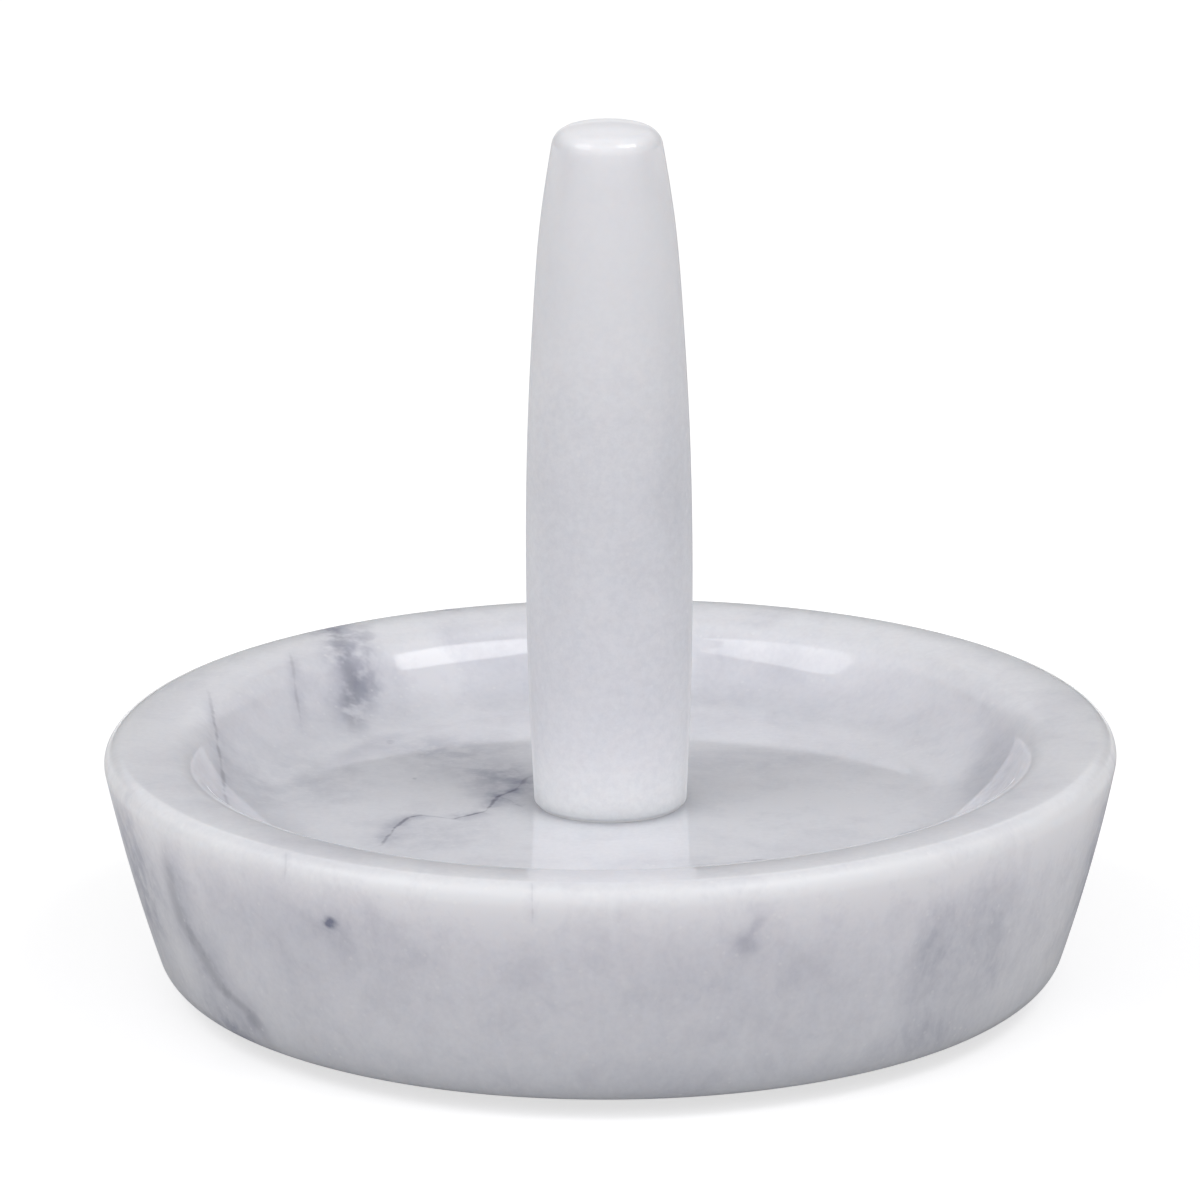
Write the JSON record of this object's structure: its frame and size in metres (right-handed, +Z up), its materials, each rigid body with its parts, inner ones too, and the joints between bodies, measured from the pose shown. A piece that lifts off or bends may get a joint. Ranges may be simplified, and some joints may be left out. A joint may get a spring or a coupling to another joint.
{
  "type": "ring dish",
  "caption": "Polished marble trinket dish with a flared round wall, a shallow flat-floored bowl and a tapered upright post that holds rings.",
  "frame": {"origin": "middle of the plane that the dish stands on, under its four pads", "axes": "+Z up along the axis of the post and the dish; X and Y are alike, with the pads at 45 degrees to both"},
  "size_m": [0.1016, 0.1016, 0.0886],
  "materials": {
    "dish_marble": "polished white marble with grey veins and clouds",
    "post_marble": "polished fine-grained white marble without veins",
    "pin_steel": "plain turned steel",
    "adhesive": "cured two-part stone adhesive",
    "pad_rubber": "matt self-adhesive rubber"
  },
  "bodies": {
    "root": {"dish": "dish_marble", "post": "post_marble", "dowel_pin": "pin_steel", "bond_layer": "adhesive", "foot_pad_1": "pad_rubber", "foot_pad_2": "pad_rubber", "foot_pad_3": "pad_rubber", "foot_pad_4": "pad_rubber"}
  },
  "joints": []
}
